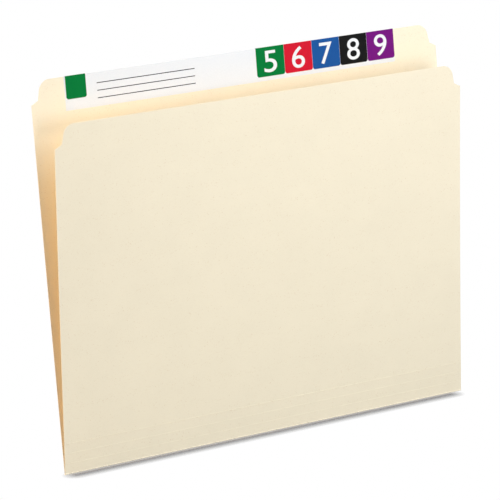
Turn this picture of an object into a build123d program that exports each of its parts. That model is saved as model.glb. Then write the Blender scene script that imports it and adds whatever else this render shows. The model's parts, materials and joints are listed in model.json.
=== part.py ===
from build123d import *
from math import cos, radians, sin
import os

# A letter-size manila folder, standing on its bottom fold and a little open.
# X runs along the fold, the front leaf faces -Y and Z is up. Sizes are in millimetres and degrees.

# The card sheet and its two leaves, measured up the leaf from the bottom fold
FOLDER_WIDTH = 298.45
BACK_HEIGHT = 241.3
FRONT_HEIGHT = 217.5
CARD_THICKNESS = 0.28

# How far the folder stands open and the back leaf's share of it, with the weight nearly above the fold
OPEN_ANGLE = 6.6
BACK_LEAN = 2.8
FRONT_LEAN = OPEN_ANGLE - BACK_LEAN

# The bottom fold's bead, the room between the shut leaves, and between a bead and the panels beside it
FOLD_RADIUS = 0.55
SHUT_GAP = 0.2
FOLD_CLEARANCE = 0.06

# Expansion scores across the foot of the front leaf, each a bead pressed up a little on both faces
SCORE_PITCH = 6.35
SCORE_COUNT = 3
SCORE_RADIUS = 0.2

# Die-cut shoulders at both ends of each leaf's top edge
SHOULDER_DROP = 14.6
SHOULDER_RISE = 2.4
SHOULDER_INSET = 4.8
TAB_SIDE_LEAN = 2.4
TAB_CORNER_RADIUS = 7.5

# White label strip over the tab's top edge, placed from the leaf's left side
LABEL_LEFT = 23.4
LABEL_LENGTH = 242.4
LABEL_HEIGHT = 20.9
STICKER_THICKNESS = 0.07

# Plain marker sticker at the label's left end
MARKER_INSET = 0.9
MARKER_WIDTH = 14.2
MARKER_HEIGHT = 14.1

# Number stickers in a row that ends at the label's right end
NUMBER_COUNT = 5
NUMBER_WIDTH = 20.8
NUMBER_SPACING = 0.15
NUMBER_HEIGHT = 18.3
STICKER_CORNER_RADIUS = 1.6

# Faces of the card, measured from the fold's axis: the inner ones keep half the shut gap from it
INNER_FACE = SHUT_GAP / 2
OUTER_FACE = INNER_FACE + CARD_THICKNESS
MID_CARD = INNER_FACE + CARD_THICKNESS / 2

# Leaf planes through the fold's axis: local X along the fold, local Y up the leaf.
# Local Z points out of the folder on the front leaf and into the folder on the back leaf.
FOLD_AXIS = Vector(0, 0, FOLD_RADIUS)
FRONT_PLANE = Plane(
    origin=FOLD_AXIS,
    x_dir=(1, 0, 0),
    z_dir=(0, -cos(radians(FRONT_LEAN)), -sin(radians(FRONT_LEAN))),
)
BACK_PLANE = Plane(
    origin=FOLD_AXIS,
    x_dir=(1, 0, 0),
    z_dir=(0, -cos(radians(BACK_LEAN)), sin(radians(BACK_LEAN))),
)


def slab(left, right, low, high, near, far):
    """A plain block in a leaf's local frame, given by its six sides."""
    middle = ((left + right) / 2, (low + high) / 2, (near + far) / 2)
    return Pos(*middle) * Box(right - left, high - low, far - near)


def leaf(low, high, near, far):
    """A leaf from its foot to its top edge, with the die-cut shoulders at both top corners."""
    side = FOLDER_WIDTH / 2
    right_half = [
        (side, low),
        (side, high - SHOULDER_DROP),
        (side - SHOULDER_INSET, high - SHOULDER_DROP + SHOULDER_RISE),
        (side - SHOULDER_INSET - TAB_SIDE_LEAN, high),
    ]
    left_half = [(-x, y) for x, y in reversed(right_half)]
    outline = make_face(Polyline(*right_half, *left_half, close=True))
    top_corners = [vertex for vertex in outline.vertices() if vertex.Y > high - TAB_CORNER_RADIUS / 2]
    outline = fillet(top_corners, TAB_CORNER_RADIUS)
    return Pos(0, 0, near) * extrude(outline, far - near)


def bead(height, offset, radius):
    """The round bead of card along a fold, at a height up the leaf and an offset from its plane."""
    return Pos(0, height, offset) * Rot(0, 90, 0) * Cylinder(radius, FOLDER_WIDTH)


def sticker(left, width, height, layers_below, corner_radius):
    """Thin paper folded over the tab's top edge, equally far down both faces of the back leaf."""
    below = layers_below * STICKER_THICKNESS
    above = below + STICKER_THICKNESS
    low = BACK_HEIGHT - height
    face = Pos(left + width / 2, (low + BACK_HEIGHT + above) / 2) * Rectangle(width, height + above)
    if corner_radius > 0:
        low_corners = face.vertices().group_by(Axis.Y)[0]
        face = fillet(low_corners, corner_radius)
    wrap = Pos(0, 0, -OUTER_FACE - above) * extrude(face, CARD_THICKNESS + 2 * above)
    inside = slab(
        left - width, left + 2 * width, low - height, BACK_HEIGHT + below, -OUTER_FACE - below, -INNER_FACE + below
    )
    return wrap - inside


pieces = {}

# The two leaves stop short of the beads they turn on
foot = FOLD_RADIUS + FOLD_CLEARANCE
score_margin = SCORE_RADIUS + FOLD_CLEARANCE
top_score = SCORE_COUNT * SCORE_PITCH
pieces["back_leaf"] = BACK_PLANE * leaf(foot, BACK_HEIGHT, -OUTER_FACE, -INNER_FACE)
pieces["front_leaf"] = FRONT_PLANE * leaf(top_score + score_margin, FRONT_HEIGHT, INNER_FACE, OUTER_FACE)
pieces["bottom_crease"] = FRONT_PLANE * bead(0, 0, FOLD_RADIUS)

# Expansion strips between the bottom fold and the scores, each with the score above it
for number in range(1, SCORE_COUNT + 1):
    score = number * SCORE_PITCH
    low = foot if number == 1 else score - SCORE_PITCH + score_margin
    strip = slab(-FOLDER_WIDTH / 2, FOLDER_WIDTH / 2, low, score - score_margin, INNER_FACE, OUTER_FACE)
    pieces[f"expansion_strip_{number}"] = FRONT_PLANE * strip
    pieces[f"score_crease_{number}"] = FRONT_PLANE * bead(score, MID_CARD, SCORE_RADIUS)

# The label strip, with the marker and the number stickers on top of it
label_left = LABEL_LEFT - FOLDER_WIDTH / 2
label_right = label_left + LABEL_LENGTH
pieces["label_strip"] = BACK_PLANE * sticker(label_left, LABEL_LENGTH, LABEL_HEIGHT, 0, 0)
pieces["marker_sticker"] = BACK_PLANE * sticker(
    label_left + MARKER_INSET, MARKER_WIDTH, MARKER_HEIGHT, 1, STICKER_CORNER_RADIUS
)
number_pitch = NUMBER_WIDTH + NUMBER_SPACING
for number in range(1, NUMBER_COUNT + 1):
    left = label_right - NUMBER_WIDTH - (NUMBER_COUNT - number) * number_pitch
    pieces[f"number_sticker_{number}"] = BACK_PLANE * sticker(
        left, NUMBER_WIDTH, NUMBER_HEIGHT, 1, STICKER_CORNER_RADIUS
    )

os.makedirs("parts", exist_ok=True)
for name, piece in pieces.items():
    export_step(piece, f"parts/{name}.step")
print(f"{len(pieces)} pieces: back leaf leans {BACK_LEAN:.2f}, front leaf {FRONT_LEAN:.2f} degrees")
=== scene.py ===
"""Looks of a manila folder on its CAD frame: card leaves, foot folds, label, numbers and a plain stage."""

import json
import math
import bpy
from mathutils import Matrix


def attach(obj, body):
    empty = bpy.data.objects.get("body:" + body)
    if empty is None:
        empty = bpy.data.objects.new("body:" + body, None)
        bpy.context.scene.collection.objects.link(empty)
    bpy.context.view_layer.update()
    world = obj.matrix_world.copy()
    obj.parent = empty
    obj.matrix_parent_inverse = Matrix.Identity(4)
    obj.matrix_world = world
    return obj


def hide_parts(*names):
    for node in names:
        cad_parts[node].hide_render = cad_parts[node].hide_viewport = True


bl_info = {
    "name": "Manila folder",
    "version": (1, 0, 0),
    "blender": (4, 5, 0),
    "location": "View3D > Sidebar > Folder",
    "description": "Builds the card, the folds and the label of a manila folder on its CAD frame",
    "category": "Object",
}

import bmesh
import bpy
from bpy.props import FloatProperty, FloatVectorProperty, IntProperty, PointerProperty
from mathutils import Matrix, Vector

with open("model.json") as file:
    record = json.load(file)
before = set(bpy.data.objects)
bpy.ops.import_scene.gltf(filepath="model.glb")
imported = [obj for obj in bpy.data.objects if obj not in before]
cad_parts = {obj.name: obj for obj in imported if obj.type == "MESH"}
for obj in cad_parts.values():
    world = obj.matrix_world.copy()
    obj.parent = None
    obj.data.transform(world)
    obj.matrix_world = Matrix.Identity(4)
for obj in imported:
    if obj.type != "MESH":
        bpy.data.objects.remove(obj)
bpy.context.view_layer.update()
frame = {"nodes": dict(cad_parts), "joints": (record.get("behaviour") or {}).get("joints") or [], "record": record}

# What the frame says: the fold's axis, how far the folder stands open and how each leaf leans
NODES = frame["nodes"]
JOINTS = {joint["name"]: joint for joint in frame["joints"]}
FACE_MOUNT = next(mount for mount in frame["record"]["mounts"] if mount["name"] == "front_leaf_face")
FOLD_AXIS = Vector(JOINTS["open"]["pos_m"])
OPEN_ANGLE = math.radians(-JOINTS["open"]["range_deg"][0])
FRONT_LEAN = math.asin(-FACE_MOUNT["axis"][2])
BACK_LEAN = OPEN_ANGLE - FRONT_LEAN

STRIPS = [f"expansion_strip_{number}" for number in (1, 2, 3)]
BEADS = ["bottom_crease"] + [f"score_crease_{number}" for number in (1, 2, 3)]
NUMBER_STICKERS = [f"number_sticker_{number}" for number in (1, 2, 3, 4, 5)]
DIGITS = "56789"
LAMPS = ("key", "low", "over", "side", "back")

# Axes of a leaf that the card is cut across
ACROSS, UP = 0, 1

# Edges flatter than the first angle are shaded smooth. Those sharper than the second are a sheet's rim
# where they end a broad face, whose normal points at least this much out of the sheet.
SMOOTH_BELOW = math.radians(20)
RIM_ABOVE = math.radians(60)
BROAD_FACE = 0.9

# How close corners are merged and how flat faces are joined in a copy of a CAD mesh
MERGE_WITHIN = 0.000001
FLAT_WITHIN = math.radians(1)

# Steps of the roundings, and half the side of a square one unit wide
RIM_SEGMENTS = 2
CORNER_SEGMENTS = 14
UNIT_SQUARE = 0.5

# Sockets of a Mix node that hold its colours
MIX_UNDER, MIX_OVER, MIX_RESULT = 6, 7, 2

# What the camera always has, in millimetres and metres
SENSOR_WIDTH = 36.0
CLIP_START = 0.1
CLIP_END = 50.0


def span(points):
    """Lowest and highest corner of the box round some points."""
    low = Vector([min(point[axis] for point in points) for axis in range(3)])
    high = Vector([max(point[axis] for point in points) for axis in range(3)])
    return low, high


def extent(node, matrix):
    """Lowest and highest corner of a CAD node in the axes of a leaf."""
    to_leaf = matrix.inverted()
    return span([to_leaf @ vertex.co for vertex in NODES[node].data.vertices])


class Leaf:
    """A leaf with its own axes: X along the fold, Y up the card and Z towards a viewer in front."""

    def __init__(self, node, lean):
        self.node = node
        self.matrix = Matrix.Translation(FOLD_AXIS) @ Matrix.Rotation(math.pi / 2 + lean, 4, "X")
        self.low, self.high = extent(node, self.matrix)

    def bow_and_place(self, bm, bow):
        """Curves a piece as this leaf curves between its foot and its top edge, and puts it in the frame."""
        for vert in bm.verts:
            share = (vert.co.y - self.low.y) / (self.high.y - self.low.y)
            share = min(max(share, 0.0), 1.0)
            vert.co.z -= 4 * bow * share * (1 - share)
        bmesh.ops.transform(bm, matrix=self.matrix, verts=bm.verts[:])


BACK_LEAF = Leaf("back_leaf", -BACK_LEAN)
FRONT_LEAF = Leaf("front_leaf", FRONT_LEAN)


class FolderCardSettings(bpy.types.PropertyGroup):
    """Card of the leaves and of the foot."""

    colour: FloatVectorProperty(
        name="Card colour",
        description="Colour of the buff card",
        subtype="COLOR",
        size=3,
        min=0.0,
        max=1.0,
        default=(0.962, 0.860, 0.642),
    )
    fibre_colour: FloatVectorProperty(
        name="Fibre colour",
        description="Colour of the darker fibres in the card",
        subtype="COLOR",
        size=3,
        min=0.0,
        max=1.0,
        default=(0.72, 0.53, 0.30),
    )
    shoulder_drop: FloatProperty(
        name="Shoulder drop",
        description="From a leaf's top edge down to the outer corner of its shoulder",
        default=0.0146,
        unit="LENGTH",
    )
    shoulder_rise: FloatProperty(
        name="Shoulder rise",
        description="How far the shoulder climbs towards the tab",
        default=0.0024,
        unit="LENGTH",
    )
    shoulder_inset: FloatProperty(
        name="Shoulder inset",
        description="Width of the shoulder",
        default=0.0048,
        unit="LENGTH",
    )
    tab_side_lean: FloatProperty(
        name="Tab side lean",
        description="How far the tab's side leans in from the shoulder to the top edge",
        default=0.0024,
        unit="LENGTH",
    )
    tab_corner_radius: FloatProperty(
        name="Tab corner radius",
        description="Radius of the tab's top corners",
        default=0.0075,
        unit="LENGTH",
    )
    edge_softness: FloatProperty(
        name="Edge softness",
        description="Rounding of the card's cut edges",
        default=0.00005,
        unit="LENGTH",
    )
    bow: FloatProperty(
        name="Bow",
        description="How far the middle of a leaf lies behind a straight line from foot to top edge",
        default=0.0005,
        unit="LENGTH",
    )
    crease_tuck: FloatProperty(
        name="Crease tuck",
        description="How far the card reaches into the bead of the bottom fold",
        default=0.00022,
        unit="LENGTH",
    )
    score_tuck: FloatProperty(
        name="Score tuck",
        description="How far the card reaches into the bead of a score",
        default=0.000115,
        unit="LENGTH",
    )
    rows: IntProperty(name="Rows", description="Rows of faces up a leaf", default=28, min=4)
    columns: IntProperty(name="Columns", description="Columns of faces across a leaf", default=16, min=2)


class FolderLabelSettings(bpy.types.PropertyGroup):
    """Label strip, stickers and what is printed on them."""

    paper: FloatVectorProperty(
        name="Label paper",
        description="Colour of the white label paper",
        subtype="COLOR",
        size=3,
        min=0.0,
        max=1.0,
        default=(0.84, 0.855, 0.85),
    )
    green: FloatVectorProperty(
        name="Green",
        description="Colour of the green stickers",
        subtype="COLOR",
        size=3,
        min=0.0,
        max=1.0,
        default=(0.0012, 0.182, 0.038),
    )
    red: FloatVectorProperty(
        name="Red",
        description="Colour of the red sticker",
        subtype="COLOR",
        size=3,
        min=0.0,
        max=1.0,
        default=(0.62, 0.012, 0.031),
    )
    blue: FloatVectorProperty(
        name="Blue",
        description="Colour of the blue sticker",
        subtype="COLOR",
        size=3,
        min=0.0,
        max=1.0,
        default=(0.014, 0.090, 0.31),
    )
    black: FloatVectorProperty(
        name="Black",
        description="Colour of the black sticker and of the printed rules",
        subtype="COLOR",
        size=3,
        min=0.0,
        max=1.0,
        default=(0.009, 0.009, 0.009),
    )
    purple: FloatVectorProperty(
        name="Purple",
        description="Colour of the purple sticker",
        subtype="COLOR",
        size=3,
        min=0.0,
        max=1.0,
        default=(0.168, 0.010, 0.190),
    )
    digit_height: FloatProperty(
        name="Digit height",
        description="Height of the printed digits",
        default=0.0136,
        unit="LENGTH",
    )
    digit_width: FloatProperty(
        name="Digit width",
        description="Width of the printed digits",
        default=0.0096,
        unit="LENGTH",
    )
    digit_weight: FloatProperty(
        name="Digit weight",
        description="How much the strokes of the digits are thickened, for digits one unit high",
        default=0.004,
    )
    ink: FloatProperty(
        name="Ink thickness",
        description="How far print stands on the paper",
        default=0.00001,
        unit="LENGTH",
    )
    rule_start: FloatProperty(
        name="Rule start",
        description="From the label's left end to the start of the write-on rules",
        default=0.0226,
        unit="LENGTH",
    )
    rule_length: FloatProperty(
        name="Rule length",
        description="Length of the write-on rules",
        default=0.070,
        unit="LENGTH",
    )
    rule_weight: FloatProperty(
        name="Rule weight",
        description="Thickness of the write-on rules",
        default=0.0005,
        unit="LENGTH",
    )
    first_rule: FloatProperty(
        name="First rule",
        description="From the tab's top edge down to the first write-on rule",
        default=0.0066,
        unit="LENGTH",
    )
    rule_pitch: FloatProperty(
        name="Rule pitch",
        description="From one write-on rule to the next",
        default=0.0046,
        unit="LENGTH",
    )
    rule_count: IntProperty(name="Rules", description="Number of write-on rules", default=3, min=0)
    rows: IntProperty(name="Rows", description="Rows of faces down a sticker", default=4, min=1)


class FolderStageSettings(bpy.types.PropertyGroup):
    """Floor, light and camera."""

    # Painted shadow: the camera sees the floor in this dark grey along the fold, standing in for the fold's
    # contact shadow on top of the real shade there
    painted_shadow_colour: FloatVectorProperty(
        name="Floor colour",
        description="Colour of the floor where the camera sees it, in the shade along the fold",
        subtype="COLOR",
        size=3,
        min=0.0,
        max=1.0,
        default=(0.25, 0.25, 0.255),
    )
    floor_bounce: FloatVectorProperty(
        name="Floor bounce",
        description="Colour that the floor throws back onto the folder",
        subtype="COLOR",
        size=3,
        min=0.0,
        max=1.0,
        default=(0.35, 0.35, 0.35),
    )
    floor_size: FloatProperty(
        name="Floor size",
        description="Half the side of the floor",
        default=3.0,
        unit="LENGTH",
    )
    floor_drop: FloatProperty(
        name="Floor drop",
        description="How far the floor lies below the fold, clear of the foot when it is squared out",
        default=0.0013,
        unit="LENGTH",
    )
    # How far the painted shadow along the fold reaches, and where it starts to round off before the fold's ends
    painted_shadow_reach: FloatProperty(
        name="Shadow reach",
        description="How far from the fold the floor has gone over into the white background",
        default=0.0095,
        unit="LENGTH",
    )
    painted_shadow_inset: FloatProperty(
        name="Shadow inset",
        description="How far before the ends of the fold its shade starts to round off",
        default=0.008,
        unit="LENGTH",
    )
    bounces: IntProperty(
        name="Bounces",
        description="How often light is followed from one matt surface to the next, as inside the folder",
        default=12,
        min=0,
    )
    sky: FloatProperty(
        name="Sky",
        description="Strength of the even light from all round",
        default=0.27,
    )
    tint: FloatVectorProperty(
        name="Light tint",
        description="Slightly cool white of the even light and of every lamp but the side one",
        subtype="COLOR",
        size=3,
        min=0.0,
        max=1.0,
        default=(0.92, 0.945, 1.0),
    )
    key_power: FloatProperty(
        name="Key light",
        description="Power of the soft light in front",
        default=3.7,
        unit="POWER",
    )
    key_size: FloatProperty(
        name="Key size",
        description="Length of each side of the soft light in front",
        default=0.5,
        unit="LENGTH",
    )
    key_place: FloatVectorProperty(
        name="Key place",
        description="Where the soft light in front stands",
        subtype="TRANSLATION",
        size=3,
        default=(0.22, -0.56, 0.75),
    )
    low_power: FloatProperty(
        name="Low light",
        description="Power of the soft light low in front",
        default=3.2,
        unit="POWER",
    )
    low_size: FloatProperty(
        name="Low size",
        description="Length of each side of the soft light low in front",
        default=0.4,
        unit="LENGTH",
    )
    low_place: FloatVectorProperty(
        name="Low place",
        description="Where the soft light low in front stands",
        subtype="TRANSLATION",
        size=3,
        default=(0.1, -1.0, 0.2),
    )
    over_power: FloatProperty(
        name="Overhead light",
        description="Power of the soft light overhead",
        default=3.9,
        unit="POWER",
    )
    over_size: FloatProperty(
        name="Overhead size",
        description="Length of each side of the soft light overhead",
        default=0.6,
        unit="LENGTH",
    )
    over_place: FloatVectorProperty(
        name="Overhead place",
        description="Where the soft light overhead stands",
        subtype="TRANSLATION",
        size=3,
        default=(0.2, -0.3, 1.1),
    )
    side_power: FloatProperty(
        name="Side light",
        description="Power of the soft light on the left, a little behind the back leaf",
        default=14.0,
        unit="POWER",
    )
    side_size: FloatProperty(
        name="Side size",
        description="Length of each side of the soft light on the left",
        default=0.4,
        unit="LENGTH",
    )
    side_place: FloatVectorProperty(
        name="Side place",
        description="Where the soft light on the left stands",
        subtype="TRANSLATION",
        size=3,
        default=(-1.2, 0.4, 0.6),
    )
    side_tint: FloatVectorProperty(
        name="Side tint",
        description="Warm white of the soft light on the left, for the inside of the folder",
        subtype="COLOR",
        size=3,
        min=0.0,
        max=1.0,
        default=(1.0, 0.78, 0.56),
    )
    back_power: FloatProperty(
        name="Back light",
        description="Power of the soft light behind",
        default=7.5,
        unit="POWER",
    )
    back_size: FloatProperty(
        name="Back size",
        description="Length of each side of the soft light behind",
        default=0.6,
        unit="LENGTH",
    )
    back_place: FloatVectorProperty(
        name="Back place",
        description="Where the soft light behind stands",
        subtype="TRANSLATION",
        size=3,
        default=(0.2, 1.1, 0.75),
    )
    azimuth: FloatProperty(
        name="Azimuth",
        description="Camera's turn round the folder from straight in front",
        default=math.radians(-32.189),
        subtype="ANGLE",
    )
    elevation: FloatProperty(
        name="Elevation",
        description="Camera's angle above the floor",
        default=math.radians(11.494),
        subtype="ANGLE",
    )
    roll: FloatProperty(
        name="Roll",
        description="Camera's turn about its own line of sight",
        default=math.radians(-3.126),
        subtype="ANGLE",
    )
    distance: FloatProperty(
        name="Distance",
        description="From the camera to its target",
        default=2.1839,
        unit="LENGTH",
    )
    target: FloatVectorProperty(
        name="Target",
        description="Point that the camera looks at",
        subtype="TRANSLATION",
        size=3,
        default=(-0.0074, 0.0, 0.1182),
    )
    lens: FloatProperty(
        name="Lens",
        description="Focal length for a 36 mm sensor",
        default=252.0,
        unit="CAMERA",
    )


class ShaderSheet:
    """Nodes of one procedural material on Object coordinates."""

    def __init__(self, name):
        self.material = bpy.data.materials.new(name)
        self.material.use_nodes = True
        self.nodes = self.material.node_tree.nodes
        self.links = self.material.node_tree.links
        self.surface = self.nodes["Principled BSDF"]
        self.place = self.add("ShaderNodeTexCoord").outputs["Object"]

    def add(self, kind, **values):
        """A new node with some of its properties set."""
        node = self.nodes.new(kind)
        for key, value in values.items():
            setattr(node, key, value)
        return node

    def set(self, **sockets):
        """Sets the surface's own sockets."""
        for key, value in sockets.items():
            self.surface.inputs[key.replace("_", " ")].default_value = value

    def noise(self, scale, detail=2.0, roughness=0.5, stretch=None, turn=0.0):
        """Noise with features of about one over scale metres, drawn out or turned in the card's plane."""
        source = self.place
        if stretch is not None:
            mapping = self.add("ShaderNodeMapping")
            mapping.inputs["Rotation"].default_value = (0.0, turn, 0.0)
            mapping.inputs["Scale"].default_value = stretch
            self.links.new(source, mapping.inputs["Vector"])
            source = mapping.outputs["Vector"]
        texture = self.add("ShaderNodeTexNoise")
        texture.inputs["Scale"].default_value = scale
        texture.inputs["Detail"].default_value = detail
        texture.inputs["Roughness"].default_value = roughness
        self.links.new(source, texture.inputs["Vector"])
        return texture.outputs["Fac"]

    def spread(self, source, low, high, to_low=0.0, to_high=1.0):
        """Maps a value from one range to another, held within the new range."""
        node = self.add("ShaderNodeMapRange", clamp=True)
        for name, value in zip(("From Min", "From Max", "To Min", "To Max"), (low, high, to_low, to_high)):
            node.inputs[name].default_value = value
        self.links.new(source, node.inputs["Value"])
        return node.outputs["Result"]

    def mix(self, amount, under, over):
        """Lays one colour over another by an amount."""
        node = self.add("ShaderNodeMix", data_type="RGBA")
        self.links.new(amount, node.inputs["Factor"])
        for socket, colour in ((node.inputs[MIX_UNDER], under), (node.inputs[MIX_OVER], over)):
            if isinstance(colour, bpy.types.NodeSocket):
                self.links.new(colour, socket)
            else:
                socket.default_value = (*colour, 1.0)
        return node.outputs[MIX_RESULT]

    def calculate(self, operation, *values):
        """Arithmetic on sockets and numbers."""
        node = self.add("ShaderNodeMath", operation=operation)
        for socket, value in zip(node.inputs, values):
            if isinstance(value, bpy.types.NodeSocket):
                self.links.new(value, socket)
            else:
                socket.default_value = value
        return node.outputs["Value"]

    def relief(self, height, strength, depth):
        """Bump from a height, on the surface's normal."""
        bump = self.add("ShaderNodeBump")
        bump.inputs["Strength"].default_value = strength
        bump.inputs["Distance"].default_value = depth
        self.links.new(height, bump.inputs["Height"])
        self.links.new(bump.outputs["Normal"], self.surface.inputs["Normal"])


def shaded(colour, factor):
    """A colour made lighter or darker."""
    return tuple(min(1.0, part * factor) for part in colour)


def buff_card(settings):
    """Uncoated buff card: cloudy formation, darker and paler fibres, small specks and a fine tooth."""
    sheet = ShaderSheet("buff_card")
    colour = tuple(settings.colour)
    fibre = tuple(settings.fibre_colour)
    clouds = sheet.spread(sheet.noise(scale=38.0, detail=5.0, roughness=0.6), low=0.3, high=0.7)
    tone = sheet.mix(clouds, under=shaded(colour, 0.985), over=shaded(colour, 1.012))
    dark = sheet.noise(scale=1.0, stretch=(420.0, 900.0, 2600.0), turn=math.radians(12))
    dark = sheet.spread(dark, low=0.62, high=0.78, to_high=0.22)
    tone = sheet.mix(dark, under=tone, over=fibre)
    pale = sheet.noise(scale=1.0, stretch=(2400.0, 900.0, 380.0), turn=math.radians(-25))
    pale = sheet.spread(pale, low=0.60, high=0.76, to_high=0.45)
    tone = sheet.mix(pale, under=tone, over=shaded(colour, 1.06))
    specks = sheet.noise(scale=1500.0, detail=0.0)
    specks = sheet.spread(specks, low=0.74, high=0.80, to_high=0.35)
    tone = sheet.mix(specks, under=tone, over=fibre)
    sheet.links.new(tone, sheet.surface.inputs["Base Color"])
    tooth = sheet.noise(scale=2600.0, detail=4.0, roughness=0.65)
    matt = sheet.spread(tooth, low=0.3, high=0.7, to_low=0.78, to_high=0.92)
    sheet.links.new(matt, sheet.surface.inputs["Roughness"])
    sheet.relief(tooth, strength=0.22, depth=0.00005)
    sheet.set(Specular_IOR_Level=0.25)
    return sheet.material


def label_paper(name, colour):
    """Smooth printed label paper with a faint print grain."""
    sheet = ShaderSheet(name)
    colour = tuple(colour)
    grain = sheet.noise(scale=1800.0, detail=3.0, roughness=0.6)
    mottle = sheet.spread(grain, low=0.3, high=0.7)
    tone = sheet.mix(mottle, under=shaded(colour, 0.97), over=shaded(colour, 1.03))
    sheet.links.new(tone, sheet.surface.inputs["Base Color"])
    matt = sheet.spread(grain, low=0.3, high=0.7, to_low=0.55, to_high=0.68)
    sheet.links.new(matt, sheet.surface.inputs["Roughness"])
    sheet.relief(grain, strength=0.10, depth=0.00002)
    sheet.set(Specular_IOR_Level=0.04)
    return sheet.material


def finished(bm, name, material, body):
    """Turns a bmesh that is in place into a piece that rides on a body."""
    bmesh.ops.recalc_face_normals(bm, faces=bm.faces[:])
    for face in bm.faces:
        face.smooth = True
    for edge in bm.edges:
        edge.smooth = edge.calc_face_angle(0.0) < SMOOTH_BELOW
    mesh = bpy.data.meshes.new(name)
    bm.to_mesh(mesh)
    bm.free()
    mesh.materials.append(material)
    piece = bpy.data.objects.new(name, mesh)
    bpy.context.scene.collection.objects.link(piece)
    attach(piece, body)
    return piece


def cut_across(bm, axis, low, high, count):
    """Cuts a mesh into even rows along one of its axes."""
    for step in range(1, count):
        place = Vector((0.0, 0.0, 0.0))
        place[axis] = low + (high - low) * step / count
        normal = Vector((0.0, 0.0, 0.0))
        normal[axis] = 1.0
        geometry = bm.verts[:] + bm.edges[:] + bm.faces[:]
        bmesh.ops.bisect_plane(bm, geom=geometry, plane_co=place, plane_no=normal)


def thicken(bm, faces, step):
    """Gives flat card or print its thickness by a step away from where it lies."""
    grown = bmesh.ops.extrude_face_region(bm, geom=faces)
    verts = [part for part in grown["geom"] if isinstance(part, bmesh.types.BMVert)]
    bmesh.ops.translate(bm, verts=verts, vec=step)


def is_rim(edge):
    """True for a sharp edge between a broad face of a sheet and its cut side."""
    sharp = edge.calc_face_angle(0.0) > RIM_ABOVE
    return sharp and any(abs(face.normal.z) > BROAD_FACE for face in edge.link_faces)


def soften_rim(bm, softness):
    """Rounds the two sharp edges all round a sheet of card."""
    bmesh.ops.recalc_face_normals(bm, faces=bm.faces[:])
    bmesh.ops.bevel(
        bm,
        geom=[edge for edge in bm.edges if is_rim(edge)],
        offset=softness,
        segments=RIM_SEGMENTS,
        profile=0.5,
        affect="EDGES",
        material=-1,
    )


def leaf_outline(bm, leaf, foot, settings):
    """The die-cut outline of a leaf as one face, with shoulders and rounded tab corners."""
    side = leaf.high.x
    top = leaf.high.y
    shoulder = top - settings.shoulder_drop
    right_half = [
        (side, foot),
        (side, shoulder),
        (side - settings.shoulder_inset, shoulder + settings.shoulder_rise),
        (side - settings.shoulder_inset - settings.tab_side_lean, top),
    ]
    points = right_half + [(-x, y) for x, y in reversed(right_half)]
    verts = [bm.verts.new((x, y, leaf.high.z)) for x, y in points]
    bm.faces.new(verts)
    highest = max(vert.co.y for vert in verts)
    corners = [vert for vert in verts if vert.co.y == highest]
    rise = settings.shoulder_drop - settings.shoulder_rise
    corner_angle = math.pi / 2 + math.atan2(settings.tab_side_lean, rise)
    reach = settings.tab_corner_radius / math.tan(corner_angle / 2)
    bmesh.ops.bevel(
        bm,
        geom=corners,
        offset=reach,
        offset_type="OFFSET",
        segments=CORNER_SEGMENTS,
        profile=0.5,
        affect="VERTICES",
        material=-1,
    )


class FOLDER_OT_leaves(bpy.types.Operator):
    """Builds the back and the front leaf as gently bowed card"""

    bl_idname = "folder.leaves"
    bl_label = "Leaves"

    def execute(self, context):
        settings = context.scene.folder_card
        card = buff_card(settings)
        tucks = {"back_leaf": settings.crease_tuck, "front_leaf": settings.score_tuck}
        bodies = {"back_leaf": "back", "front_leaf": "front"}
        for leaf in (BACK_LEAF, FRONT_LEAF):
            foot = leaf.low.y - tucks[leaf.node]
            bm = bmesh.new()
            leaf_outline(bm, leaf, foot, settings)
            cut_across(bm, UP, foot, leaf.high.y, settings.rows)
            cut_across(bm, ACROSS, leaf.low.x, leaf.high.x, settings.columns)
            thicken(bm, bm.faces[:], (0.0, 0.0, leaf.low.z - leaf.high.z))
            soften_rim(bm, settings.edge_softness)
            leaf.bow_and_place(bm, settings.bow)
            piece = finished(bm, f"{leaf.node}_card", card, bodies[leaf.node])
            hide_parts(leaf.node)
        return {"FINISHED"}


class FOLDER_OT_foot(bpy.types.Operator):
    """Builds the expansion strips at the foot, and finishes the beads of the fold and of the scores"""

    bl_idname = "folder.foot"
    bl_label = "Foot folds"

    def execute(self, context):
        settings = context.scene.folder_card
        card = bpy.data.materials["buff_card"]
        for number, node in enumerate(STRIPS):
            low, high = extent(node, FRONT_LEAF.matrix)
            low_tuck = settings.crease_tuck if number == 0 else settings.score_tuck
            bm = bmesh.new()
            bottom = low.y - low_tuck
            top = high.y + settings.score_tuck
            corners = [(low.x, bottom), (high.x, bottom), (high.x, top), (low.x, top)]
            bm.faces.new([bm.verts.new((x, y, high.z)) for x, y in corners])
            cut_across(bm, ACROSS, low.x, high.x, settings.columns)
            thicken(bm, bm.faces[:], (0.0, 0.0, low.z - high.z))
            bmesh.ops.transform(bm, matrix=FRONT_LEAF.matrix, verts=bm.verts[:])
            piece = finished(bm, f"foot_strip_{number + 1}", card, "gusset")
            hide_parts(node)
        for node in BEADS:
            bead = NODES[node]
            bead.data.materials.clear()
            bead.data.materials.append(card)
        return {"FINISHED"}


def bowed_sticker(node, rows):
    """A CAD sticker as a clean mesh in the back leaf's axes, cut into rows so that it can follow the card."""
    bm = bmesh.new()
    bm.from_mesh(NODES[node].data)
    bmesh.ops.remove_doubles(bm, verts=bm.verts[:], dist=MERGE_WITHIN)
    bmesh.ops.transform(bm, matrix=BACK_LEAF.matrix.inverted(), verts=bm.verts[:])
    bmesh.ops.dissolve_limit(bm, angle_limit=FLAT_WITHIN, verts=bm.verts[:], edges=bm.edges[:])
    low, high = extent(node, BACK_LEAF.matrix)
    cut_across(bm, UP, low.y, high.y, rows)
    return bm


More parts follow.
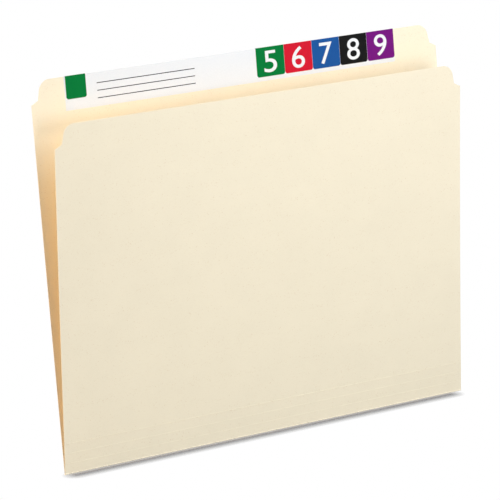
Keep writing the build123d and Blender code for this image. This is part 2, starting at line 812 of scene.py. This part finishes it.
class FOLDER_OT_label(bpy.types.Operator):
    """Builds the label strip and the stickers that are folded over the tab"""

    bl_idname = "folder.label"
    bl_label = "Label and stickers"

    def execute(self, context):
        settings = context.scene.folder_label
        bow = context.scene.folder_card.bow
        papers = {
            "white_label_paper": settings.paper,
            "green_sticker_paper": settings.green,
            "red_sticker_paper": settings.red,
            "blue_sticker_paper": settings.blue,
            "black_sticker_paper": settings.black,
            "purple_sticker_paper": settings.purple,
        }
        materials = {slot: label_paper(f"{slot}_finish", colour) for slot, colour in papers.items()}
        slots = {part["node"]: part["material_slot"] for part in frame["record"]["subparts"]}
        for node in ["label_strip", "marker_sticker", *NUMBER_STICKERS]:
            bm = bowed_sticker(node, settings.rows)
            BACK_LEAF.bow_and_place(bm, bow)
            piece = finished(bm, f"{node}_paper", materials[slots[node]], "back")
            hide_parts(node)
        return {"FINISHED"}


def off_paper(matrix, ink):
    """The step by which print at a place stands on its paper."""
    return matrix.to_3x3() @ Vector((0.0, 0.0, ink))


def add_glyph(bm, digit, settings, matrices):
    """Adds one digit to a mesh once for each matrix, as a thin layer of print centred on its own middle."""
    curve = bpy.data.curves.new("digit", "FONT")
    curve.body = digit
    curve.offset = settings.digit_weight
    text = bpy.data.objects.new("digit", curve)
    bpy.context.scene.collection.objects.link(text)
    flat = bpy.data.meshes.new_from_object(text.evaluated_get(bpy.context.evaluated_depsgraph_get()))
    bpy.data.objects.remove(text)
    low, high = span([vertex.co for vertex in flat.vertices])
    middle = (low + high) / 2
    tall = settings.digit_height / (high.y - low.y)
    wide = settings.digit_width / (high.x - low.x)
    fit = Matrix.Diagonal((wide, tall, 1.0, 1.0)) @ Matrix.Translation((-middle.x, -middle.y, 0.0))
    for matrix in matrices:
        known_verts = set(bm.verts)
        known_faces = set(bm.faces)
        bm.from_mesh(flat)
        verts = [vert for vert in bm.verts if vert not in known_verts]
        bmesh.ops.transform(bm, matrix=matrix @ fit, verts=verts)
        thicken(bm, [face for face in bm.faces if face not in known_faces], off_paper(matrix, settings.ink))
    bpy.data.meshes.remove(flat)


def add_rule(bm, settings, matrix):
    """Adds one write-on rule to a mesh, as a thin layer of print."""
    size = Matrix.Diagonal((settings.rule_length, settings.rule_weight, 1.0, 1.0))
    known = set(bm.faces)
    bmesh.ops.create_grid(bm, x_segments=1, y_segments=1, size=UNIT_SQUARE, matrix=matrix @ size)
    thicken(bm, [face for face in bm.faces if face not in known], off_paper(matrix, settings.ink))


def both_sides(middle, low, high):
    """Places for print on the front and on the back of a sticker, each reading upright from its own side."""
    front = Matrix.Translation((middle.x, middle.y, high.z))
    back = Matrix.Translation((middle.x, middle.y, low.z)) @ Matrix.Rotation(math.pi, 4, "Y")
    return front, back


class FOLDER_OT_print(bpy.types.Operator):
    """Prints plain digits on the number stickers and write-on rules on the label"""

    bl_idname = "folder.print"
    bl_label = "Print"

    def execute(self, context):
        settings = context.scene.folder_label
        bow = context.scene.folder_card.bow
        white = bpy.data.materials["white_label_paper_finish"]
        black = bpy.data.materials["black_sticker_paper_finish"]
        for number, (node, digit) in enumerate(zip(NUMBER_STICKERS, DIGITS), 1):
            low, high = extent(node, BACK_LEAF.matrix)
            bm = bmesh.new()
            add_glyph(bm, digit, settings, both_sides((low + high) / 2, low, high))
            BACK_LEAF.bow_and_place(bm, bow)
            finished(bm, f"digit_{number}", white, "back")
        low, high = extent("label_strip", BACK_LEAF.matrix)
        bm = bmesh.new()
        for rule in range(settings.rule_count):
            middle = Vector((low.x + settings.rule_start + settings.rule_length / 2, 0.0, 0.0))
            middle.y = BACK_LEAF.high.y - settings.first_rule - rule * settings.rule_pitch
            for matrix in both_sides(middle, low, high):
                add_rule(bm, settings, matrix)
        BACK_LEAF.bow_and_place(bm, bow)
        finished(bm, "write_on_rules", black, "back")
        return {"FINISHED"}


def seen_rays(nodes, links):
    """One for the rays that show the background: from the camera, off gloss and through glass."""
    path = nodes.new("ShaderNodeLightPath")
    seen = path.outputs["Is Camera Ray"]
    for ray in ("Is Glossy Ray", "Is Transmission Ray"):
        either = nodes.new("ShaderNodeMath")
        either.operation = "MAXIMUM"
        links.new(seen, either.inputs[0])
        links.new(path.outputs[ray], either.inputs[1])
        seen = either.outputs["Value"]
    return seen


def blended(nodes, links, amount, under, over):
    """One shader laid over another by an amount."""
    blend = nodes.new("ShaderNodeMixShader")
    links.new(amount, blend.inputs["Fac"])
    for socket, shader in zip(blend.inputs[1:], (under, over)):
        links.new(shader, socket)
    return blend.outputs["Shader"]


def floor_with_painted_shadow(settings):
    """Floor with a painted shadow: near the fold the camera sees it dark grey, over the real shade there, and
    further off it lets the white background through; light bounces off it as grey.
    """
    sheet = ShaderSheet("pale_floor")
    sheet.set(Roughness=0.9, Specular_IOR_Level=0.1)
    seen = seen_rays(sheet.nodes, sheet.links)
    # Camera rays see the painted shadow colour, other rays the floor's grey bounce colour
    tone = sheet.mix(seen, tuple(settings.floor_bounce), tuple(settings.painted_shadow_colour))
    sheet.links.new(tone, sheet.surface.inputs["Base Color"])
    # Painted shadow mask: distance from the fold, rounded off past its ends, fading into the white background
    split = sheet.add("ShaderNodeSeparateXYZ")
    sheet.links.new(sheet.place, split.inputs["Vector"])
    end = FRONT_LEAF.high.x - settings.painted_shadow_inset
    past_end = sheet.calculate("SUBTRACT", sheet.calculate("ABSOLUTE", split.outputs["X"]), end)
    past_end = sheet.calculate("MAXIMUM", past_end, 0.0)
    along = sheet.calculate("MULTIPLY", past_end, past_end)
    across = sheet.calculate("MULTIPLY", split.outputs["Y"], split.outputs["Y"])
    away = sheet.calculate("SQRT", sheet.calculate("ADD", along, across))
    fade = sheet.spread(away, low=0.0, high=settings.painted_shadow_reach)
    lit = sheet.add("ShaderNodeLightPath").outputs["Is Shadow Ray"]
    fade = sheet.calculate("MULTIPLY", fade, sheet.calculate("MAXIMUM", seen, lit))
    solid = sheet.surface.outputs["BSDF"]
    clear = sheet.add("ShaderNodeBsdfTransparent").outputs["BSDF"]
    shader = blended(sheet.nodes, sheet.links, fade, under=solid, over=clear)
    sheet.links.new(shader, sheet.nodes["Material Output"].inputs["Surface"])
    return sheet.material


def even_sky(strength, tint):
    """Even light from all round, seen as white by the camera."""
    world = bpy.data.worlds.new("even_sky")
    bpy.context.scene.world = world
    world.use_nodes = True
    nodes = world.node_tree.nodes
    links = world.node_tree.links
    white = nodes.new("ShaderNodeBackground")
    white.inputs["Color"].default_value = (1.0, 1.0, 1.0, 1.0)
    light = nodes["Background"]
    light.inputs["Color"].default_value = (*tint, 1.0)
    light.inputs["Strength"].default_value = strength
    lighting = light.outputs["Background"]
    backdrop = white.outputs["Background"]
    shader = blended(nodes, links, seen_rays(nodes, links), under=lighting, over=backdrop)
    links.new(shader, nodes["World Output"].inputs["Surface"])


def soft_light(name, settings):
    """A square soft light that faces the camera's target."""
    place = Vector(getattr(settings, f"{name}_place"))
    lamp = bpy.data.lights.new(f"{name}_light", "AREA")
    lamp.energy = getattr(settings, f"{name}_power")
    lamp.size = getattr(settings, f"{name}_size")
    lamp.color = settings.side_tint if name == "side" else settings.tint
    light = bpy.data.objects.new(f"{name}_light", lamp)
    light.location = place
    light.rotation_euler = (Vector(settings.target) - place).to_track_quat("-Z", "Y").to_euler()
    bpy.context.scene.collection.objects.link(light)


def photo_camera(settings):
    """The camera at its angle, distance and roll."""
    around = settings.azimuth
    above = settings.elevation
    back = Vector((math.sin(around) * math.cos(above), -math.cos(around) * math.cos(above), math.sin(above)))
    right = Vector((math.cos(around), math.sin(around), 0.0))
    up = back.cross(right)
    across = math.cos(settings.roll) * right + math.sin(settings.roll) * up
    over = math.cos(settings.roll) * up - math.sin(settings.roll) * right
    lens = bpy.data.cameras.new("camera")
    lens.sensor_width = SENSOR_WIDTH
    lens.lens = settings.lens
    lens.clip_start = CLIP_START
    lens.clip_end = CLIP_END
    camera = bpy.data.objects.new("camera", lens)
    turn = Matrix((across, over, back)).transposed().to_4x4()
    camera.matrix_world = Matrix.Translation(Vector(settings.target) + back * settings.distance) @ turn
    bpy.context.scene.collection.objects.link(camera)
    bpy.context.scene.camera = camera


class FOLDER_OT_stage(bpy.types.Operator):
    """Sets up the floor, the light and the camera"""

    bl_idname = "folder.stage"
    bl_label = "Stage"

    def execute(self, context):
        settings = context.scene.folder_stage
        bm = bmesh.new()
        place = Matrix.Translation((0.0, 0.0, -settings.floor_drop))
        bmesh.ops.create_grid(bm, x_segments=2, y_segments=2, size=settings.floor_size, matrix=place)
        mesh = bpy.data.meshes.new("floor")
        bm.to_mesh(mesh)
        bm.free()
        mesh.materials.append(floor_with_painted_shadow(settings))
        floor = bpy.data.objects.new("floor", mesh)
        context.scene.collection.objects.link(floor)
        even_sky(settings.sky, settings.tint)
        for name in LAMPS:
            soft_light(name, settings)
        photo_camera(settings)
        context.scene.view_settings.view_transform = "Standard"
        context.scene.cycles.diffuse_bounces = settings.bounces
        return {"FINISHED"}


class FOLDER_PT_sidebar(bpy.types.Panel):
    """Lists the folder's settings and steps"""

    bl_idname = "FOLDER_PT_sidebar"
    bl_label = "Manila folder"
    bl_space_type = "VIEW_3D"
    bl_region_type = "UI"
    bl_category = "Folder"

    def draw(self, context):
        for step in STEPS:
            self.layout.operator(step.bl_idname)
        for group in (context.scene.folder_card, context.scene.folder_label, context.scene.folder_stage):
            box = self.layout.box()
            for name in group.bl_rna.properties.keys():
                if name not in ("rna_type", "name"):
                    box.prop(group, name)


GROUPS = {
    "folder_card": FolderCardSettings,
    "folder_label": FolderLabelSettings,
    "folder_stage": FolderStageSettings,
}
STEPS = (FOLDER_OT_leaves, FOLDER_OT_foot, FOLDER_OT_label, FOLDER_OT_print, FOLDER_OT_stage)


def register():
    """Makes the settings, steps and sidebar known to Blender."""
    for name, group in GROUPS.items():
        bpy.utils.register_class(group)
        setattr(bpy.types.Scene, name, PointerProperty(type=group))
    for step in STEPS:
        bpy.utils.register_class(step)
    bpy.utils.register_class(FOLDER_PT_sidebar)


def unregister():
    """Takes the sidebar, steps and settings out of Blender again."""
    bpy.utils.unregister_class(FOLDER_PT_sidebar)
    for step in reversed(STEPS):
        bpy.utils.unregister_class(step)
    for name, group in GROUPS.items():
        delattr(bpy.types.Scene, name)
        bpy.utils.unregister_class(group)


def main():
    """Builds every piece and the stage."""
    register()
    bpy.ops.folder.leaves()
    bpy.ops.folder.foot()
    bpy.ops.folder.label()
    bpy.ops.folder.print()
    bpy.ops.folder.stage()


if __name__ == "__main__":
    main()
